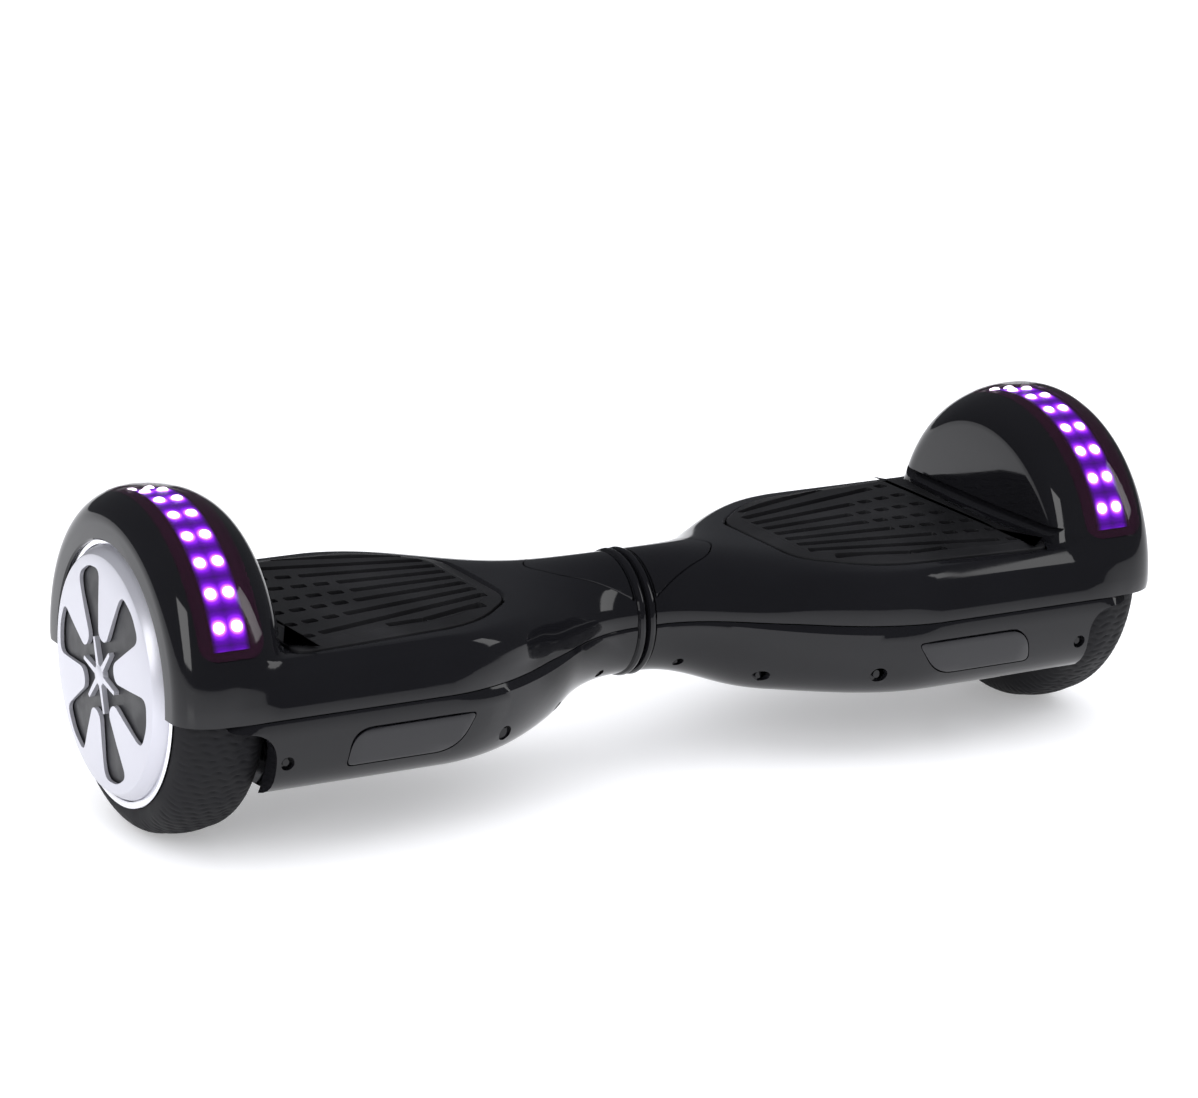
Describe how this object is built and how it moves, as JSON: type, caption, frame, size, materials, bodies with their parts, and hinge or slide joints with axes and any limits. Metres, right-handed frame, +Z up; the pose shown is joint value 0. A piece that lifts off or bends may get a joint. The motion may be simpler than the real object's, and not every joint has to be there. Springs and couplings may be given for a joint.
{
  "type": "self balancing hoverboard",
  "caption": "Two-wheeled self balancing board with pivoting gloss halves, lit fenders, hub motors and ridged rubber footpads.",
  "frame": {"origin": "on the ground directly under the pivot, midway between the wheels", "axes": "+X along the wheel axles towards the right wheel, -Y the front that faces the viewer, +Z up"},
  "size_m": [0.5946, 0.1888, 0.177],
  "materials": {
    "shell_gloss_black": "injection moulded, high gloss black, piano finish",
    "footpad_rubber": "moulded matte charcoal rubber with raised ridges",
    "smoked_lens": "polished smoked translucent plastic over violet LEDs",
    "headlight_smoke": "polished dark smoked plastic",
    "circuit_board": "glass-fibre circuit board with solder mask",
    "cast_aluminium": "die cast, lightly blasted",
    "machined_steel": "turned and ground",
    "copper_winding": "enamelled copper over laminated steel",
    "magnet_grey": "nickel plated magnets on a steel ring",
    "tyre_rubber": "moulded solid rubber with a fine lateral tread",
    "rim_aluminium": "die cast with a polished lip",
    "hub_silver": "satin silver lacquer",
    "hub_charcoal": "moulded charcoal plastic with a fine grain",
    "soft_black": "soft matte black elastomer",
    "battery_wrap": "heat shrink wrap"
  },
  "bodies": {
    "left_half": {"left_upper_shell": "shell_gloss_black", "left_lower_shell": "shell_gloss_black", "left_neck_panel": "shell_gloss_black", "left_pivot_collar": "shell_gloss_black", "left_fender_lens": "smoked_lens", "left_fender_led_board": "circuit_board", "left_headlight_lens": "headlight_smoke", "left_headlight_board": "circuit_board", "left_sensor_board": "circuit_board", "left_chassis": "cast_aluminium", "left_axle_clamp": "cast_aluminium", "left_motor_axle": "machined_steel", "left_motor_stator": "copper_winding", "pivot_tube": "machined_steel", "retaining_ring": "machined_steel", "battery_pack": "battery_wrap", "pivot_harness": "soft_black"},
    "right_half": {"right_upper_shell": "shell_gloss_black", "right_lower_shell": "shell_gloss_black", "right_neck_panel": "shell_gloss_black", "right_pivot_collar": "shell_gloss_black", "right_fender_lens": "smoked_lens", "right_fender_led_board": "circuit_board", "right_headlight_lens": "headlight_smoke", "right_headlight_board": "circuit_board", "right_sensor_board": "circuit_board", "right_chassis": "cast_aluminium", "right_axle_clamp": "cast_aluminium", "right_motor_axle": "machined_steel", "right_motor_stator": "copper_winding", "inner_bush": "soft_black", "outer_bush": "soft_black", "stop_pin": "machined_steel", "main_board": "circuit_board", "charge_socket": "machined_steel"},
    "left_wheel": {"left_tyre": "tyre_rubber", "left_rim": "rim_aluminium", "left_magnet_ring": "magnet_grey", "left_motor_cover": "cast_aluminium", "left_inner_bearing": "machined_steel", "left_outer_bearing": "machined_steel", "left_hub_panel": "hub_charcoal", "left_hub_cover": "hub_silver", "left_hub_star": "hub_silver"},
    "right_wheel": {"right_tyre": "tyre_rubber", "right_rim": "rim_aluminium", "right_magnet_ring": "magnet_grey", "right_motor_cover": "cast_aluminium", "right_inner_bearing": "machined_steel", "right_outer_bearing": "machined_steel", "right_hub_panel": "hub_charcoal", "right_hub_cover": "hub_silver", "right_hub_star": "hub_silver"},
    "left_pad": {"left_footpad": "footpad_rubber"},
    "right_pad": {"right_footpad": "footpad_rubber"},
    "button": {"power_button": "soft_black"},
    "cap": {"charge_cap": "soft_black"}
  },
  "joints": [
    {"name": "board_twist", "type": "hinge", "parent": "left_half", "child": "right_half", "pos_m": [0, 0, 0.0795], "axis": [1, 0, 0], "range_deg": [-12, 12]},
    {"name": "left_wheel_spin", "type": "hinge", "parent": "left_half", "child": "left_wheel", "pos_m": [-0.263, 0, 0.084], "axis": [1, 0, 0], "continuous": true},
    {"name": "right_wheel_spin", "type": "hinge", "parent": "right_half", "child": "right_wheel", "pos_m": [0.263, 0, 0.084], "axis": [1, 0, 0], "continuous": true},
    {"name": "left_pad_press", "type": "slide", "parent": "left_half", "child": "left_pad", "axis": [0, 0, -1], "range_m": [0, 0.0015], "stiffness_N_per_m": 20000},
    {"name": "right_pad_press", "type": "slide", "parent": "right_half", "child": "right_pad", "axis": [0, 0, -1], "range_m": [0, 0.0015], "stiffness_N_per_m": 20000},
    {"name": "power_press", "type": "slide", "parent": "right_half", "child": "button", "axis": [0, -1, 0], "range_m": [0, 0.0012], "stiffness_N_per_m": 900},
    {"name": "cap_flap", "type": "hinge", "parent": "right_half", "child": "cap", "pos_m": [0.163, 0.0934, 0.062], "axis": [0, 0, -1], "range_deg": [0, 95]}
  ]
}
